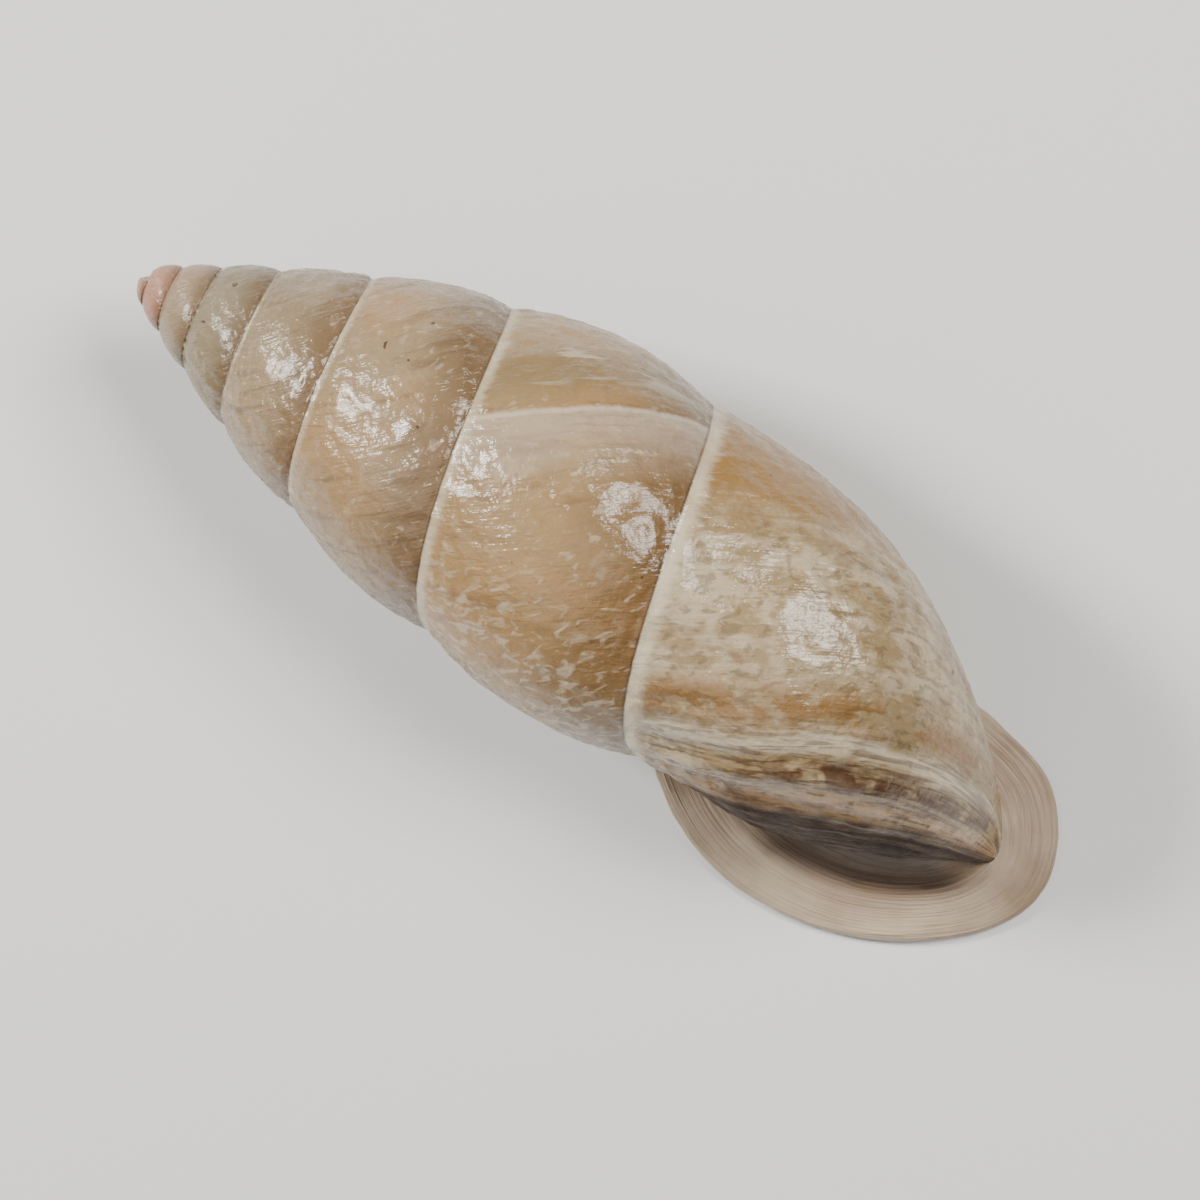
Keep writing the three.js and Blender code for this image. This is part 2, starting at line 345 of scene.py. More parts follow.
# %% [markdown]
# ## Relief of the wall
#
# All of this is real shape, a few hundredths to a few tenths of a millimetre deep, and it is what
# breaks the highlights into sparks. A bump in the material alone would leave the outline and the
# exported mesh perfectly smooth. The relief is added to the radius before the mesh is closed.
#
# The hatchling's whorls are smooth, so the relief grows in over the first turns. Where the animal
# rested for a season there is one sharp line. Near the lip it grew slowly and laid down folds, a
# rib, a groove and pits.

# %% Relief of the wall
DENTS = (0.26, 1.9)
SMALL_DENTS = (0.14, 0.95)
WAVES = (0.18, 6)
REST_AGE = 6.225
RIB_AGE = 7.452
GROOVE_AGE = 7.475
FOLDED = (7.27, 7.40)
PITTED_FROM = (7.1, 7.2)
PITTED_TO = (7.4, 7.45)


def near_the_lip(turn, across, points):
    """Folds, a rib, a groove and pits, in millimetres."""
    age = turn + SLANT * across
    folds = 0.30 * streaks(turn, across, 55, 11) + 0.14 * streaks(turn, across, 120, 13)
    ribs = 0.22 * ridge(age, RIB_AGE, 0.008) - 0.25 * ridge(age, GROOVE_AGE, 0.009)
    pitted = smooth(*PITTED_FROM, age) * (1 - smooth(*PITTED_TO, age))
    pits = pitted * smooth(0.25, 0.5, grain(points, 2.4, 17))
    return smooth(*FOLDED, age) * folds + ribs - 0.16 * pits


def relief(turn, across, points):
    """How far the skin stands out from the plain wall, in millimetres."""
    age = turn + SLANT * across
    height = seam_x(turn + 1) - seam_x(turn)
    dents = -DENTS[0] * np.abs(grain(points, DENTS[1]))
    small_dents = -SMALL_DENTS[0] * np.abs(grain(points, SMALL_DENTS[1], 7))
    waves = WAVES[0] * grain(points, WAVES[1], 3)
    lines = 0.05 * streaks(turn, across, 85) + 0.03 * streaks(turn, across, 170, 5)
    rest = -0.14 * ridge(age, REST_AGE, 0.004) + 0.08 * ridge(age, REST_AGE - 0.012, 0.006)
    seam_edge = -0.07 * ridge(across * height, 0, 0.3)
    hammered = smooth(1.5, 4.2, turn) * (dents + small_dents + waves + lines)
    return hammered + rest + near_the_lip(turn, across, points) + seam_edge


def pucker(turn):
    """The seam's own wobble, shared by the whorls on its two sides."""
    return smooth(1.5, 3.5, turn) * 0.16 * streaks(turn, 0 * turn, 70, 9) - 0.08


print("deepest dents in mm:", round(DENTS[0] + SMALL_DENTS[0], 2))

# %% [markdown]
# ## The coil
#
# One sheet winds from the tip to the mouth, each turn from its seam down to the next, and its
# lower edge is welded to the next turn's upper edge. A second sheet carries the last turn on over
# the base. The rows crowd towards the seams, where the shape turns quickly. Both sides of a seam
# have to give the very same points, so the relief fades out there and the seam's own pucker takes
# over.

# %% The skin of the coil
FIRST_TURN = 0.25
STEPS_PER_TURN = 208
STEPS = round((TURNS - FIRST_TURN) * STEPS_PER_TURN)
LAST_TURN = FIRST_TURN + STEPS / STEPS_PER_TURN
LAST_FROM = LAST_TURN - 1
FADE = 0.03
CALM_POLE = 6
NEARLY = 1e-9


def skin(turn, across, x):
    """The raised wall. Both sides of a seam give the same points there."""
    plain = wall_point(turn, x)
    open_side = turn > LAST_FROM - NEARLY
    beyond = np.where(open_side, 1, smooth(0, FADE, 1 - across))
    fade = smooth(0, FADE, across) * beyond * (1 - smooth(BASE_X - CALM_POLE, BASE_X, x))
    upper = np.exp(-((across / FADE) ** 2)) * pucker(turn)
    lower = np.where(open_side, 0, np.exp(-(((1 - across) / FADE) ** 2)) * pucker(turn + 1))
    return wall_point(turn, x, fade * relief(turn, across, plain) + upper + lower)


print("the coil takes", STEPS, "steps, to turn", round(LAST_TURN, 3))

# %% Winding the coil
ACROSS_STEPS = 40
CROWDING = 0.6


def winding(u, v):
    turn = FIRST_TURN + u * STEPS / STEPS_PER_TURN
    across = v - CROWDING * np.sin(2 * np.pi * v) / (2 * np.pi)
    x = mix(seam_x(turn), seam_x(turn + 1), across)
    growth = np.stack([turn, across], axis=-1)
    shared = (v == 0) & (turn >= FIRST_TURN + 1 - NEARLY)
    return skin(turn - shared, across + shared, x), growth


coil = sheet("coil", STEPS, ACROSS_STEPS, winding)

# %% [markdown]
# ## The base
#
# Below its last seam the shell has nothing more to cover, so the last turn's skin runs on to a
# pole. Its rows lie closer together near the pole, where the base rounds over.

# %% The base
BASE_STEPS = 24


def base(u, v):
    turn = LAST_FROM + u
    bottom = seam_x(turn + 1)
    x = mix(bottom, BASE_X, np.sin(np.pi / 2 * v))
    across = (x - seam_x(turn)) / (bottom - seam_x(turn))
    points = skin(turn, across, x)
    points[v == 1] = around(np.array([0.0]), np.array([float(BASE_X)]), np.array([0.0]))
    return points, np.stack([turn, across], axis=-1)


last_turn = sheet("last_turn", STEPS_PER_TURN, BASE_STEPS, base)
only(coil)
last_turn.select_set(True)
bpy.ops.object.join()
closed(coil)

# %% [markdown]
# ## The lip's free edge
#
# The adult snail ends its growth with a broad, thick lip that lies almost flat. Its outline isn't
# a circle, so it is a closed curve through a few points. The curve is of the centripetal kind,
# which doesn't loop or overshoot where the points are unevenly spaced.

# %% Free edge of the lip
LIP_EDGE = np.array([
    (51.6, -12.4, -9.2),
    (57.4, -15.7, -12.3),
    (63.6, -16.4, -13.0),
    (69.8, -15.2, -13.0),
    (75.4, -12.2, -12.9),
    (79.4, -8.4, -12.8),
    (80.9, -4.2, -12.6),
    (79.6, 0.0, -12.4),
    (76.6, 3.1, -12.0),
    (71.5, 4.6, -11.3),
    (65.0, 4.9, -9.6),
    (58.0, 3.6, -11.2),
    (52.8, -0.8, -12.5),
    (50.0, -5.8, -11.4),
    (49.8, -10.0, -8.0),
])


def lip_edge(share):
    """The free edge as a closed centripetal curve through LIP_EDGE."""
    count = len(LIP_EDGE)
    at = (share % 1) * count
    k = np.floor(at).astype(int) % count
    f = (at - np.floor(at))[..., None]
    p = [LIP_EDGE[(k + i) % count] for i in (-1, 0, 1, 2)]
    gap = [np.linalg.norm(p[i + 1] - p[i], axis=-1)[..., None] ** 0.5 for i in range(3)]
    out = (p[1] - p[0]) / gap[0] - (p[2] - p[0]) / (gap[0] + gap[1]) + (p[2] - p[1]) / gap[1]
    into = (p[2] - p[1]) / gap[1] - (p[3] - p[1]) / (gap[1] + gap[2]) + (p[3] - p[2]) / gap[2]
    out, into = out * gap[1], into * gap[1]
    square = (3 * (p[2] - p[1]) - 2 * out - into) * f**2
    return p[1] + out * f + square + (2 * (p[1] - p[2]) + out + into) * f**3


edge_points = lip_edge(np.linspace(0, 1, 200))
edge_size = edge_points.max(axis=0) - edge_points.min(axis=0)
print("the lip's size in mm:", np.round(edge_size, 1))

# %% [markdown]
# ## Across the lip
#
# Inside the free edge lies the mouth, a smaller oval whose narrow corner stands a little higher.
# Any point of the lip is a mix of the two, raised by some height.

# %% From the free edge to the mouth
MOUTH_CENTRE = np.array([65.2, -5.9])
MOUTH_SCALE = np.array([0.62, 0.5])
MOUTH_Z = -12.9
MOUTH_CORNER_RISE = 2.4
CORNER_LENGTH = 10


def lip_point(share, inward, lift):
    """`inward` runs from the free edge, 0, to the edge of the mouth, 1."""
    edge = lip_edge(share)
    mouth = np.empty_like(edge)
    mouth[..., :2] = mix(MOUTH_CENTRE, edge[..., :2], MOUTH_SCALE)
    corner = np.clip((MOUTH_CENTRE[0] - mouth[..., 0]) / CORNER_LENGTH, 0, 1)
    mouth[..., 2] = MOUTH_Z + MOUTH_CORNER_RISE * corner**2
    point = mix(edge, mouth, inward[..., None])
    point[..., 2] += lift
    return point


print("the mouth in mm:", np.round(edge_size[:2] * MOUTH_SCALE, 1))

# %% [markdown]
# ## The lip
#
# Its section is a curve too, from the mouth over the front, round the free edge, and up the back to
# the root inside the wall. A torus could start it, but all of its points would have to be moved
# just the same, so it is one more bent sheet. The back carries rings, one for each layer of lime,
# and the free edge waves a little.

# %% Lip
LIP_INWARD = [1.3, 0.9, 0.45, 0.08, 0, 0.1, 0.5, 0.9, 1.1, 1.5]
LIP_LIFT = [0.3, -0.1, -0.2, 0, 0.6, 1.2, 1.5, 2.3, 4.6, 8.5]
FREE_EDGE_AT = 4
LIP_STEPS = 288
LIP_ROWS = 36


def lip_ring(u, v):
    at = v * (len(LIP_INWARD) - 1)
    inward, lift = through(LIP_INWARD, at), through(LIP_LIFT, at)
    plain = lip_point(u, inward, lift)
    flat = plain * (1, 1, 0)
    free = np.exp(-(((at - FREE_EDGE_AT) / 1.4) ** 2))
    waves = 0.022 * grain(flat, 4.5, 21) + 0.010 * grain(flat, 1.3, 23)
    back = smooth(FREE_EDGE_AT, FREE_EDGE_AT + 1, at)
    rings = back * 0.07 * np.sin(55 * inward + 3 * grain(flat, 7, 25))
    bumps = 0.10 * grain(plain, 2.2, 27) * smooth(FREE_EDGE_AT - 1, FREE_EDGE_AT + 1, at)
    raised = lip_point(u, inward + free * waves, lift + rings + bumps)
    return raised, np.stack([u, at / (len(LIP_INWARD) - 1)], axis=-1)


lip = closed(sheet("lip", LIP_STEPS, LIP_ROWS, lip_ring))

# %% [markdown]
# ## Inside the whorls
#
# The snail lived in a tube that runs from the mouth back along the whorls, a wall's thickness
# inside them. On its inner side stands the pillar that all the turns share, which is called the
# columella. Towards the mouth the wall by the narrow corner grows thick.

# %% Rings of the chamber
WALL = 1.15
CORNER_WALL = 3.4
COLUMELLA_RADIUS = 1.5
PILLAR_TIP_RADIUS = 0.5
PILLAR_GROWTH = (3, 7)
BASE_WALL = 3.6
THROAT = (6.7, 7.45)
CHAMBER_SLOPE = 0.32


def chamber_point(turn, angle):
    late = smooth(*THROAT, turn)
    top = seam_x(turn) + WALL * 0.6 + CORNER_WALL * late
    bottom = mix(seam_x(turn + 1) - WALL * 0.5, BASE_X - BASE_WALL, late)
    outside = radius(turn, (top + bottom) / 2) - WALL
    pillar = PILLAR_TIP_RADIUS + COLUMELLA_RADIUS * smooth(*PILLAR_GROWTH, turn)
    r = (outside + pillar) / 2 + (outside - pillar) / 2 * np.sin(angle)
    inwards = 1 - (r - pillar) / (outside - pillar)
    slope = CHAMBER_SLOPE * (1 - late) * (bottom - top) * inwards
    x = (top + bottom) / 2 + (bottom - top) / 2 * np.cos(angle) + slope
    edge = np.minimum(radius(turn, x), radius(turn, np.minimum(x + WALL, BASE_X))) - WALL
    return around(turn, x, np.minimum(r, np.maximum(edge, pillar)))


print("wall in mm:", WALL, "and the pillar:", 2 * (PILLAR_TIP_RADIUS + COLUMELLA_RADIUS))

# %% [markdown]
# ## The chamber
#
# The tube is modelled as a solid and cut out of the shell later, because where it breaks through
# the mouth the cut makes the sharp inner edge by itself. Its first few rings form a funnel from
# below the mouth up into the last whorl, and each one after that is a ring of the chamber.

# %% Chamber
LIP_HALF = np.array([15.5, 10.6])
MOUTH_WALL = 1.1
FUNNEL_HEIGHT = 3.4
FUNNEL_BLEND = 0.92
BELOW_MOUTH = 4
CHAMBER_TOP = 4.2
CHAMBER_SIDES = 72
CHAMBER_STEPS = 190
FUNNEL_STEPS = 5


def funnel_rings(share, angle):
    """Five rings, from below the mouth up to the throat."""
    mouth = lip_point(share, 1 + 0 * share, 0 * share)
    below = mouth.copy()
    below[..., 2] = MOUTH_Z - BELOW_MOUTH
    straight = lip_point(share, 1.04 + 0 * share, MOUTH_WALL + 0 * share)
    throat = chamber_point(LEFT_SIDE + 0 * share, angle)
    funnel = mix(mouth, throat, FUNNEL_BLEND)
    funnel[..., 2] = mouth[..., 2] + FUNNEL_HEIGHT
    high_funnel = throat.copy()
    high_funnel[..., 2] = (funnel[..., 2] + throat[..., 2]) / 2
    return below, mouth, straight, funnel, high_funnel


def tube(u, v):
    share = v % 1
    mouth = lip_point(share, 1 + 0 * share, 0 * share)
    offset = (mouth[..., :2] - MOUTH_CENTRE) / MOUTH_SCALE / LIP_HALF
    angle = np.arctan2(-offset[..., 1], offset[..., 0])
    step = np.round(u * (CHAMBER_STEPS + FUNNEL_STEPS))
    turn = mix(LEFT_SIDE, CHAMBER_TOP, np.maximum(step - FUNNEL_STEPS, 0) / CHAMBER_STEPS)
    points = chamber_point(turn, angle)
    for number, ring in enumerate(funnel_rings(share, angle)):
        points = np.where((step == number)[:, None], ring, points)
    return points, np.stack([turn, share], axis=-1)


chamber = closed(sheet("chamber", CHAMBER_STEPS + FUNNEL_STEPS, CHAMBER_SIDES, tube))

# %% [markdown]
# ## One body
#
# The coil and the lip are joined by a boolean union, and the chamber is taken away. Each of the
# three has its own material before that, and the boolean carries the materials over to the faces
# that it keeps. The manifold solver is quick and keeps a closed mesh closed.

# %% Join the lip and hollow the shell
SLOTS = [bpy.data.materials.new(name) for name in ("snail_skin", "snail_lip", "snail_inside")]
for piece, material in zip((coil, lip, chamber), SLOTS):
    piece.data.materials.clear()
    piece.data.materials.append(material)


def boolean(piece, other, operation):
    only(piece)
    cut = piece.modifiers.new(operation, "BOOLEAN")
    cut.operation = operation
    cut.object = other
    cut.solver = "MANIFOLD"
    cut.material_mode = "TRANSFER"
    bpy.ops.object.modifier_apply(modifier=cut.name)
    bpy.data.objects.remove(other)
    print(operation, "leaves", len(piece.data.polygons), "faces")


boolean(coil, lip, "UNION")
boolean(coil, chamber, "DIFFERENCE")
shell = coil
shell.name = "land_snail_shell"

# %% [markdown]
# ## Worn flats
#
# A shell that has been slid about rests on worn flats: a patch on each of two whorls of its belly,
# and one under the lip. So a block of ground is taken away from it. A bisect would cut at the same
# height, but the cut under the lip has a hole in it, the mouth, and filling that ring is where a
# bisect goes wrong. The faces of the flats on the belly get a material of their own.

# %% Lay the shell on the ground
GROUND_SIZE = 0.2
GROUND_GAP = 1e-6
BELLY_END = 0.015
bpy.ops.object.select_all(action="DESELECT")
bpy.ops.mesh.primitive_cube_add(
    size=GROUND_SIZE, location=(0, 0, -GROUND_SIZE / 2), calc_uvs=False
)
ground = bpy.context.object
ground.data.materials.append(SLOTS[1])
boolean(shell, ground, "DIFFERENCE")

worn_patch = bpy.data.materials.new("snail_worn")
shell.data.materials.append(worn_patch)
flats = [face for face in shell.data.polygons if face.center.z < GROUND_GAP]
for face in flats:
    if face.center.x < BELLY_END:
        face.material_index = len(SLOTS)
print("faces of the flats:", len(flats))

# %% [markdown]
# ## Smooth faces, and what the shell replaces
#
# Faces are shaded smooth except across sharp edges, such as the rim of the mouth. The finished
# shell then stands in for the plain solid, and rides on its body.

# %% Shading and the frame
SHARP = np.radians(40)
bpy.ops.object.shade_smooth_by_angle(angle=SHARP)
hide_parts("shell")
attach(shell, "root")
print("faces:", len(shell.data.polygons), "materials:", [m.name for m in shell.data.materials])

# %% [markdown]
# ## Sums on sockets
#
# A colour that follows growth needs dozens of Math nodes. They are easier to read as sums, so one
# small class stands for a socket, and each operator on it adds a node. `node` adds any other kind
# of node from its settings and the values or links of its sockets.

# %% The Wire class


class Wire:
    tree = None

    def __init__(self, socket):
        self.socket = socket

    @classmethod
    def node(cls, kind, settings=None, inputs=None, out=0):
        made = cls.tree.nodes.new("ShaderNode" + kind)
        for name, value in (settings or {}).items():
            if name == "stops":
                stops = made.color_ramp.elements
                while len(stops) < len(value):
                    stops.new(1)
                for stop, (position, colour) in zip(stops, value):
                    stop.position = position
                    stop.color = colour
            else:
                setattr(made, name, value)
        for name, value in (inputs or {}).items():
            if isinstance(value, Wire):
                cls.tree.links.new(value.socket, made.inputs[name])
            else:
                made.inputs[name].default_value = value
        return cls(made.outputs[out])

    def math(self, operation, first, second=0.0):
        return self.node("Math", {"operation": operation}, {0: first, 1: second})

    def __add__(self, other):
        return self.math("ADD", self, other)

    def __sub__(self, other):
        return self.math("SUBTRACT", self, other)

    def __rsub__(self, other):
        return self.math("SUBTRACT", other, self)

    def __mul__(self, other):
        return self.math("MULTIPLY", self, other)

    def __truediv__(self, other):
        return self.math("DIVIDE", self, other)

    def __rtruediv__(self, other):
        return self.math("DIVIDE", other, self)

    def __abs__(self):
        return self.math("ABSOLUTE", self)

    __radd__ = __add__
    __rmul__ = __mul__


print("operators with a reflected form:", sum(name.startswith("__r") for name in vars(Wire)))

# %% [markdown]
# ## Masks, colours and noise
#
# A mask is a number from 0 to 1 that says where a colour lies. It either rises between two limits
# or stands as a band about one value. Colours are laid over each other like coats of thin paint,
# each with its own mask.

# %% Masks and coats of colour


def rise(value, low, high):
    """0 below `low`, 1 above `high`, and smooth between. With low above high it falls."""
    limits = {"Value": value, "From Min": low, "From Max": high}
    return Wire.node("MapRange", {"interpolation_type": "SMOOTHSTEP"}, limits)


def band(value, at, width):
    """1 at `at`, falling to 0 at `width` to either side."""
    return rise(abs(value - at), width, 0.0)


def tint(red, green, blue):
    """A colour on the usual 0 to 255 scale, as Blender's linear one."""
    return (*(((c / 255 + 0.055) / 1.055) ** 2.4 for c in (red, green, blue)), 1)


def blend(base, layer, share):
    colours = {"Factor": share, 6: base, 7: layer}
    return Wire.node("Mix", {"data_type": "RGBA"}, colours, out=2)


def paint(base, *layers):
    """Lays each (colour, share) over what is below it."""
    for layer, share in layers:
        base = blend(base, layer, share)
    return base


print("mid grey as Blender sees it:", round(tint(128, 128, 128)[0], 3))

# %% Noise, and the start and end of a material


def speckle(where, scale, detail=2.0, rough=0.5, warp=0.0):
    """Noise from 0 to 1."""
    facts = {"Vector": where, "Scale": scale, "Detail": detail, "Roughness": rough, "Distortion": warp}
    return Wire.node("TexNoise", {}, facts)


def vector(x, y, z=0.0):
    return Wire.node("CombineXYZ", {}, {0: x, 1: y, 2: z})


def start(material):
    """Turns on a material's nodes and gives its surface shader, its places and its growth numbers."""
    material.use_nodes = True
    Wire.tree = material.node_tree
    shader = material.node_tree.nodes["Principled BSDF"]
    place = Wire.node("TexCoord", out="Object")
    growth = Wire.node("UVMap", {"uv_map": "growth"})
    turn = Wire.node("SeparateXYZ", {}, {0: growth}, out="X")
    across = Wire.node("SeparateXYZ", {}, {0: growth}, out="Y")
    return shader, place, turn, across


def bump(height, distance, strength):
    return Wire.node("Bump", {}, {"Height": height, "Distance": distance, "Strength": strength})


def feed(shader, **inputs):
    for name, value in inputs.items():
        socket = shader.inputs[name.replace("_", " ")]
        if isinstance(value, Wire):
            Wire.tree.links.new(value.socket, socket)
        else:
            socket.default_value = value
    print("fed the shader with", ", ".join(inputs))


# %% [markdown]
# ## The skin
#
# A snail lays its colour down with the shell, so the colours belong to ages too: a pink tip, grey
# and tan young whorls, a pale band where growth rested on the last whorl but one, then gold, a
# mottled stretch, brown blotches, and dark dirt in the groove behind the lip, darkened further with
# painted shade there. Each is a mask on the age, roughened with noise, so that no edge is ruled.
# Painting an image would do it too, but growth lines would then have to be drawn one by one.
#
# Noise on places gives clouds and grains. Noise on age gives growth lines, drawn out across the
# whorl.

# %% Skin: places and noise
shader, place, turn, across = start(SLOTS[0])
age = turn + across * SLANT
grain_small = speckle(place, 900, 3, 0.6)
grain_mid = speckle(place, 330, 3, 0.55)
cloud = speckle(place, 95, 2, 0.5)
lines = speckle(vector(age * 60, across * 2.2), 1.0, 3, 0.6, 0.4)
fine_lines = speckle(vector(age * 170, across * 5, 3.0), 1.0, 2, 0.6, 0.3)
dashes = speckle(vector(age * 110, across * 14, 7.0), 1.0, 2, 0.5, 0.8)
worn = age + (cloud - 0.5) * 0.05 + (lines - 0.5) * 0.03
print("nodes for places and noise:", len(Wire.tree.nodes))

# %% [markdown]
# ## Colour of the spire
#
# The ground colour is a ramp along the age. Over it go honey and horn-grey clouds, pale frosting
# where the skin has worn off the lime, a browner lower half on each whorl that is partly browner
# skin and partly painted shade above the next seam, brown growth lines, and pale flecks, which
# crowd together on the last whorl but one.

# %% Skin: ground colour
RAMP_TURNS = 8
WHORL_TINTS = [
    (0.0, tint(184, 134, 108)),
    (1.9, tint(180, 134, 108)),
    (2.3, tint(160, 138, 110)),
    (3.0, tint(146, 134, 110)),
    (3.6, tint(142, 126, 98)),
    (4.6, tint(158, 136, 106)),
    (5.4, tint(158, 134, 102)),
    (6.0, tint(160, 134, 96)),
    (6.6, tint(158, 124, 80)),
    (7.0, tint(156, 118, 70)),
    (7.3, tint(150, 120, 82)),
]
stops = [(turns / RAMP_TURNS, colour) for turns, colour in WHORL_TINTS]
base_colour = Wire.node("ValToRGB", {"stops": stops}, {0: age / RAMP_TURNS})
print("colours along the spiral:", len(stops))

# %% Skin: clouds, frosting and flecks of the spire
HONEY = tint(172, 130, 80)
HORN_GREY = tint(122, 102, 76)
FROST = tint(206, 188, 158)
# The lower half of each whorl is painted darker: partly its browner skin, partly painted shade where
# it dips to the next seam.
LOWER_BROWN_AND_SHADE = tint(98, 70, 42)
LINE_BROWN = tint(96, 72, 48)
FLECK = tint(204, 186, 158)
CROWDED_FLECK = tint(206, 188, 160)
adult = rise(turn, 3.0, 4.5)
lower = rise(across, 0.45, 1.0) * rise(turn, 6.9, 6.3)
frosted = rise(grain_mid + grain_small * 0.5, 0.86, 1.05) * adult
whitish = rise(turn, 6.28, 6.42) * rise(turn, 6.6, 6.5)
spire = paint(
    base_colour,
    (HONEY, rise(cloud, 0.45, 0.7) * adult * 0.55),
    (HORN_GREY, rise(cloud, 0.5, 0.25) * 0.45),
    (FROST, frosted * 0.4),
    (LOWER_BROWN_AND_SHADE, lower * 0.65),
    (LINE_BROWN, rise(lines, 0.54, 0.68) * adult * 0.4),
    (FLECK, rise(dashes, 0.60, 0.72) * adult * 0.4),
    (CROWDED_FLECK, rise(dashes, 0.52, 0.62) * whitish * 0.5),
)
print("nodes so far:", len(Wire.tree.nodes))

# %% [markdown]
# ## The rest band
#
# On the last whorl but one the snail stopped for a season. Before the line the shell is olive
# brown with streaks, and after it comes a pale band that fades back into the ground colour. The
# line itself is whitish and a little uneven.

# %% Skin: the rest band on the last whorl but one
BEFORE_REST = tint(128, 110, 78)
BEFORE_STREAK = tint(106, 84, 56)
AFTER_REST = tint(190, 172, 150)
AFTER_STREAK = tint(160, 134, 110)
PALE_STREAK = tint(212, 196, 168)
REST_LINE = tint(222, 208, 188)
before_rest = band(age, REST_AGE - 0.05, 0.055)
starts = rise(age, REST_AGE - 0.004, REST_AGE + 0.004)
fades = rise(worn, REST_AGE + 0.075, REST_AGE + 0.01)
after_rest = starts * fades
rest_line = band(age + (grain_mid - 0.5) * 0.008, REST_AGE, 0.005)
pale_before = rise(lines, 0.52, 0.62) * band(age, REST_AGE - 0.06, 0.06)
rested = paint(
    spire,
    (BEFORE_REST, before_rest * 0.7),
    (BEFORE_STREAK, before_rest * rise(lines, 0.48, 0.6) * 0.5),
    (AFTER_REST, after_rest * 0.65),
    (AFTER_STREAK, after_rest * rise(fine_lines, 0.5, 0.62) * 0.5),
    (PALE_STREAK, pale_before * 0.6),
    (REST_LINE, rest_line * 0.5),
)
print("growth rested at turn", REST_AGE)

# %% [markdown]
# ## The last whorl
#
# The snail was full grown when it made this part, and it laid its colours down unevenly: clear
# gold first, then a mottled stretch where the skin has flaked off in patches, a band of brown
# blotches, a pale ridge, and dark brown streaks and pale flakes just before the lip.

# %% Skin: where the marks of the last whorl lie
BLOTCH_AGE = 7.375
RIDGE_AGE = 7.412
STREAK_AGE = 7.445
FLAKE_AGE = 7.478
gold = rise(turn, 6.62, 6.9) * rise(worn, 7.22, 7.15)
mottled = rise(worn, 7.15, 7.23) * rise(worn, 7.49, 7.45)
patches = rise(grain_mid * 0.5 + lines * 0.5 + grain_small * 0.25, 0.56, 0.70)
patchy = rise(grain_mid + (lines - 0.5) * 0.7, 0.42, 0.52)
blotched = band(worn, BLOTCH_AGE, 0.035) * patchy
streaked = band(worn, STREAK_AGE, 0.03) * rise(across, 0.35, 0.8) * rise(grain_mid, 0.4, 0.52)
ridges = band(worn, RIDGE_AGE, 0.016)
brown_lines = rise(fine_lines, 0.47, 0.6) * rise(worn, 7.36, 7.44)
flakes = band(worn, FLAKE_AGE, 0.02) * rise(grain_mid, 0.48, 0.56)
print("blotches, ridge, streaks and flakes at", BLOTCH_AGE, RIDGE_AGE, STREAK_AGE, FLAKE_AGE)

# %% Skin: colours of the last whorl
GOLD = tint(146, 110, 60)
MOTTLE = tint(152, 132, 98)
MOTTLE_PALE = tint(196, 178, 148)
MOTTLE_DARK = tint(104, 86, 58)
BLOTCH = tint(132, 94, 48)
RIDGE = tint(206, 190, 164)
STREAK = tint(78, 46, 24)
BROWN_LINE = tint(72, 44, 26)
FLAKE = tint(186, 156, 126)
last = paint(
    rested,
    (GOLD, gold * 0.8),
    (MOTTLE, mottled * 0.75),
    (MOTTLE_PALE, mottled * patches * 0.7),
    (MOTTLE_DARK, mottled * rise(dashes, 0.48, 0.36) * 0.5),
    (BLOTCH, blotched * 0.85),
    (RIDGE, ridges * 0.8),
    (STREAK, streaked * 0.9),
    (BROWN_LINE, brown_lines * 0.7),
    (FLAKE, flakes * 0.85),
)
print("nodes so far:", len(Wire.tree.nodes))

# %% [markdown]
# ## Seam, groove and specks
#
# Each whorl begins with a whitish edge where it was glued to the one before, widest on the old
# whorls. The seam beside it holds a thin dark line. Soil stays in the groove behind the lip and
# darkens it, and painted shade darkens the deep groove further. A few black specks of soil stick
# to the skin elsewhere.

# %% Skin: the seam's pale edge, the dirt and painted shade in the groove and a few specks
PALE_EDGE = tint(210, 196, 166)
SEAM_LINE = tint(74, 54, 38)
GROOVE_DIRT_AND_SHADE = tint(56, 37, 23)
SPECK = tint(64, 48, 38)
edge_width = (0.045 + rise(turn, 5.8, 7.2) * 0.035) * (1 + (fine_lines - 0.5) * 1.2)
pale_edge = rise(across / edge_width, 1.15, 0.35) * adult
edge_strength = 0.1 + grain_mid * 0.8 + rise(turn, 5.5, 7.2) * 0.3
seam_line = rise(across, 0.985, 1.0) * rise(turn, 6.64, 6.62) + rise(across, 0.008, 0.0)
# The groove behind the lip is painted dark: partly soil, partly painted shade in its depth.
groove = rise(worn + (grain_mid - 0.5) * 0.04, 7.475, 7.515) * rise(across, 0.10, 0.35)
dirt_and_shade = groove * (0.93 + (lines - 0.5) * 1.3)
specks = rise(speckle(place, 1100, 0, 0.4), 0.845, 0.87)
skin_colour = paint(
    last,
    (PALE_EDGE, pale_edge * edge_strength),
    (SEAM_LINE, seam_line * 0.7),
    (GROOVE_DIRT_AND_SHADE, dirt_and_shade),
    (SPECK, specks * 0.8),
)
print("nodes of the skin's colour:", len(Wire.tree.nodes))

# %% [markdown]
# ## Gloss of the skin
#
# The outermost layer is a thin horny varnish. Where it is whole the skin is glossy, and dirt dulls
# it. So a light clear coat lies over a body whose roughness and fine bump vary with the same noise
# as the colours. The bump only adds what is too fine for the mesh.

# %% Skin: gloss and fine relief
hammer = speckle(place, 1300, 2, 0.55)
height = hammer * 0.6 + grain_mid * 0.8 + lines * 0.6 + fine_lines * 0.3
feed(
    shader,
    Base_Color=skin_colour,
    Roughness=0.25 + (grain_mid - 0.5) * 0.3 + dirt_and_shade * 0.6,
    Normal=bump(height, 0.0004, 0.6),
    Coat_Weight=0.22 - dirt_and_shade * 0.22,
    Coat_Roughness=0.12,
)
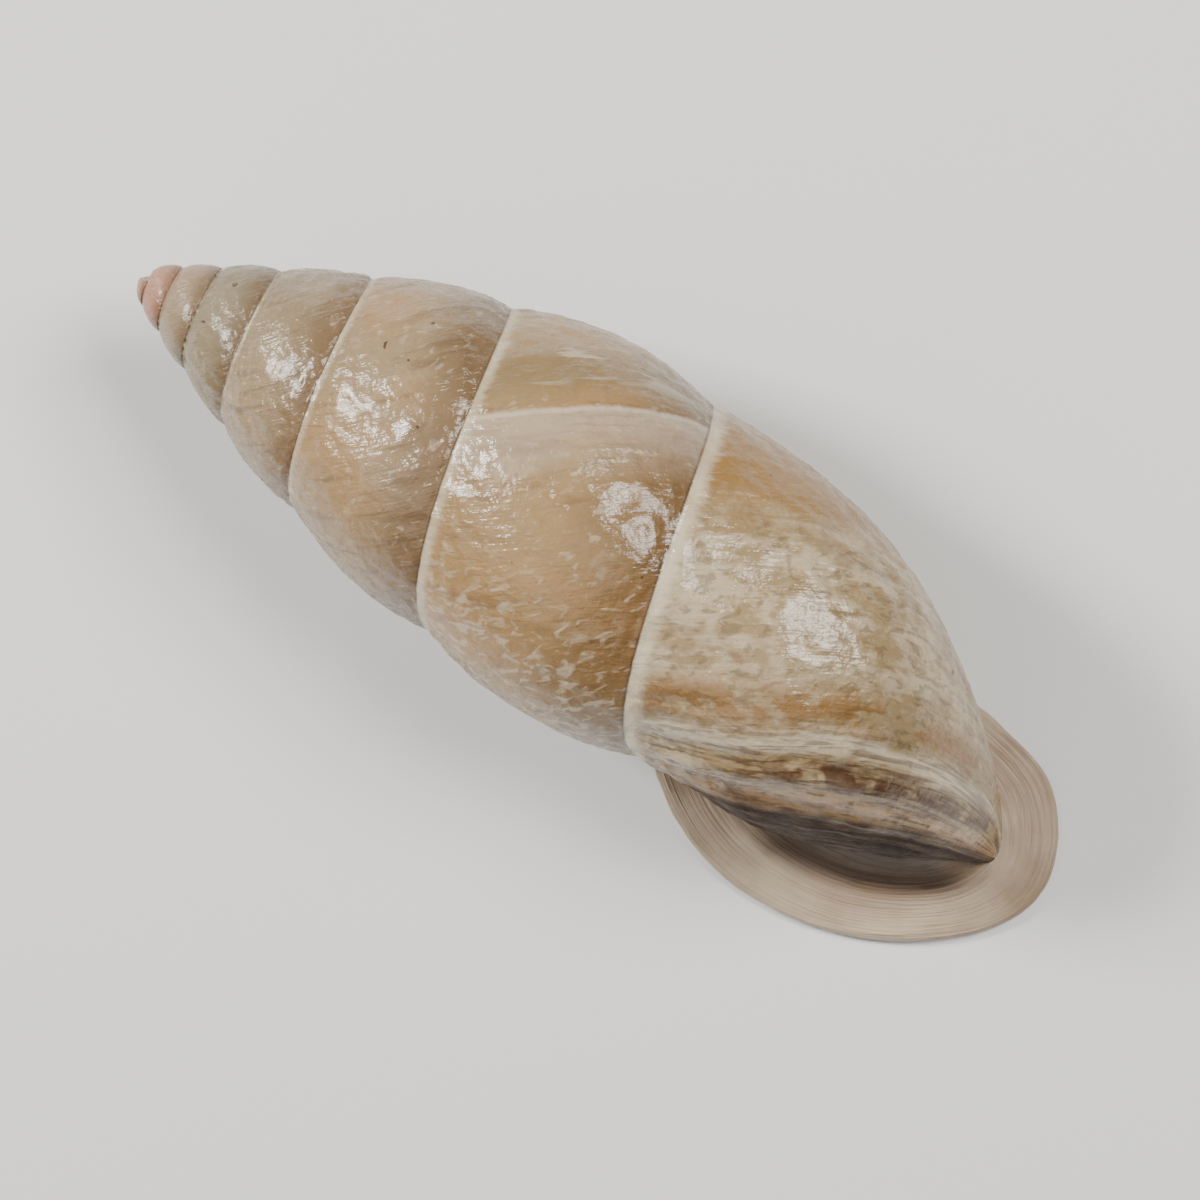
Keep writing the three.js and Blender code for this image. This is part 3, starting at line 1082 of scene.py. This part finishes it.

# %% [markdown]
# ## Finish of the lip
#
# The lip is thick lime with no skin over it: cream, hardly shiny, with fine lines that run round
# it, one for each layer. The same dirt lies on its back, next to the wall, and the root where the
# back meets the wall in the groove is darkened with painted shade as well. Underneath, where the
# animal's body slid over it, it is smoother and glossier. Here the growth map holds the way round
# the lip and the place on its section, so the lines are noise drawn out along the way round.

# %% Lip
LIP_CREAM = tint(174, 152, 128)
LIP_PALE = tint(196, 178, 152)
LIP_LINE = tint(116, 92, 68)
LIP_TAN = tint(140, 112, 82)
ROOT_BROWN_AND_SHADE = tint(110, 82, 54)
ROOT_DIRT_AND_SHADE = tint(58, 40, 26)
shader, place, share, section = start(SLOTS[1])
cloud = speckle(place, 120, 3, 0.55)
grain_small = speckle(place, 800, 3, 0.6)
around_lip = speckle(vector(share * 7, section * 60), 1.0, 3, 0.6, 0.5)
on_back = rise(section, 0.46, 0.54)
# Towards the root, where the lip's back meets the wall in the groove, it is painted browner and
# darker: partly dirt, partly painted shade.
root = rise(section + (cloud - 0.5) * 0.08, 0.68, 0.78)
outer_side = rise(share, 0.02, 0.12) * rise(share, 0.40, 0.30)
soiled_and_shaded = root * outer_side * (0.95 + (around_lip - 0.5) * 1.0)
lip_colour = paint(
    LIP_CREAM,
    (LIP_PALE, rise(cloud, 0.45, 0.65) * 0.6),
    (LIP_LINE, rise(around_lip, 0.52, 0.66) * on_back * 0.25),
    (LIP_TAN, rise(cloud, 0.5, 0.3) * 0.5),
    (ROOT_BROWN_AND_SHADE, root * 0.45),
    (ROOT_DIRT_AND_SHADE, soiled_and_shaded),
)
feed(
    shader,
    Base_Color=lip_colour,
    Roughness=0.42 + on_back * 0.12 + (grain_small - 0.5) * 0.2,
    Normal=bump(around_lip * 0.8 + grain_small * 0.25, 0.0004, 0.6),
    Coat_Weight=0.35 - on_back * 0.25,
    Coat_Roughness=0.2,
)

# %% [markdown]
# ## Finish of the inside
#
# The animal polished the inside of its tube as it moved. It is the smoothest part of the shell,
# cream at the mouth and painted browner further in, which stands in for the shade deep in the tube
# and the light that comes through its thin wall.
# Faint rings follow the old rims.

# %% Inside
INSIDE_CREAM = tint(214, 196, 172)
INSIDE_TAN = tint(184, 150, 116)
DEEP_PAINTED_SHADE = tint(150, 112, 84)
shader, place, turn, ring_share = start(SLOTS[2])
cloud = speckle(place, 90, 2, 0.5)
rings = speckle(vector(turn * 40, ring_share), 1.0, 2, 0.5)
inside_colour = paint(
    INSIDE_CREAM,
    (INSIDE_TAN, rise(cloud, 0.4, 0.65) * 0.5),
    # Browner further in: painted shade deep in the tube, and painted light through its thin wall.
    (DEEP_PAINTED_SHADE, rise(turn, 7.2, 6.4) * 0.5),
)
feed(
    shader,
    Base_Color=inside_colour,
    Roughness=0.3 + (cloud - 0.5) * 0.2,
    Normal=bump(rings, 0.0001, 0.4),
    Coat_Weight=0.5,
    Coat_Roughness=0.15,
)

# %% [markdown]
# ## Finish of the worn belly
#
# Where the belly has rubbed on the ground the varnish is gone and the lime shows: matt, cloudy and
# scuffed. It has no growth lines left, so this material reads places only.

# %% Worn patches on the belly
WORN_TAN = tint(168, 140, 104)
WORN_PALE = tint(196, 174, 142)
WORN_BROWN = tint(140, 112, 78)
shader, place, _, _ = start(worn_patch)
cloud = speckle(place, 160, 3, 0.6)
scuffs = speckle(place, 1100, 3, 0.6)
worn_colour = paint(
    WORN_TAN,
    (WORN_PALE, rise(cloud, 0.45, 0.62) * 0.6),
    (WORN_BROWN, rise(scuffs, 0.5, 0.65) * 0.4),
)
feed(
    shader,
    Base_Color=worn_colour,
    Roughness=0.5 + (scuffs - 0.5) * 0.2,
    Normal=bump(scuffs, 0.0001, 0.5),
)

# %% [markdown]
# ## Floor
#
# The floor is plain, pale and matt, so that it takes a soft shadow and throws a little light back
# up under the shell.

# %% Floor
FLOOR_SIZE = 1.6
FLOOR_GREY = (0.8, 0.8, 0.79, 1)
bpy.ops.object.select_all(action="DESELECT")
bpy.ops.mesh.primitive_plane_add(size=FLOOR_SIZE, location=(0, 0, 0))
floor = bpy.context.object
floor.name = "floor"
paper = bpy.data.materials.new("paper")
floor.data.materials.append(paper)
shader, _, _, _ = start(paper)
feed(shader, Base_Color=FLOOR_GREY, Roughness=0.9)

# %% [markdown]
# ## Light
#
# A glossy thing shows its lights, so there are few. Two small lamps stand high on opposite sides,
# and their mirror images make the chain of sparks along the whorls. A wide dim one keeps the
# shadows open.

# %% Lights
TARGET = Vector((0.0013, -0.0022, 0.012))
WARM = (1, 0.98, 0.95)
COOL = (0.96, 0.98, 1)


def lamp(name, place, size, power, colour):
    bpy.ops.object.light_add(type="AREA", location=place)
    light = bpy.context.object
    light.name = name
    light.data.size = size
    light.data.energy = power
    light.data.color = colour
    light.rotation_euler = (TARGET - light.location).to_track_quat("-Z", "Y").to_euler()
    print(f"{name}: {power} W, {size} m wide")


lamp("tip_side", (-0.38, -0.07, 0.34), 0.12, 2.9, WARM)
lamp("back_side", (0.16, 0.22, 0.42), 0.22, 2.6, WARM)
lamp("sky", (-0.10, -0.35, 0.6), 0.8, 1.6, COOL)

# %% [markdown]
# ## Camera
#
# The camera looks almost straight down, with the shell lying slantwise across the frame. Its lens
# follows from how far away it stands and how much it has to show.

# %% Camera
TILT = np.radians(5)
DISTANCE = 0.30
VIEW_WIDTH = 0.0882
FRAME_RIGHT = Vector((0.848, 0.530, 0))
NEAR_LIMIT = 0.01
back = Vector((np.sin(TILT), 0, np.cos(TILT)))
right = (FRAME_RIGHT - FRAME_RIGHT.dot(back) * back).normalized()
facing = Matrix((right, back.cross(right), back)).transposed().to_4x4()
bpy.ops.object.camera_add()
camera = bpy.context.object
camera.matrix_world = Matrix.Translation(TARGET + back * DISTANCE) @ facing
camera.data.lens = camera.data.sensor_width * DISTANCE / VIEW_WIDTH
camera.data.clip_start = NEAR_LIMIT
bpy.context.scene.camera = camera
print("lens in mm:", round(camera.data.lens, 1))

# %% [markdown]
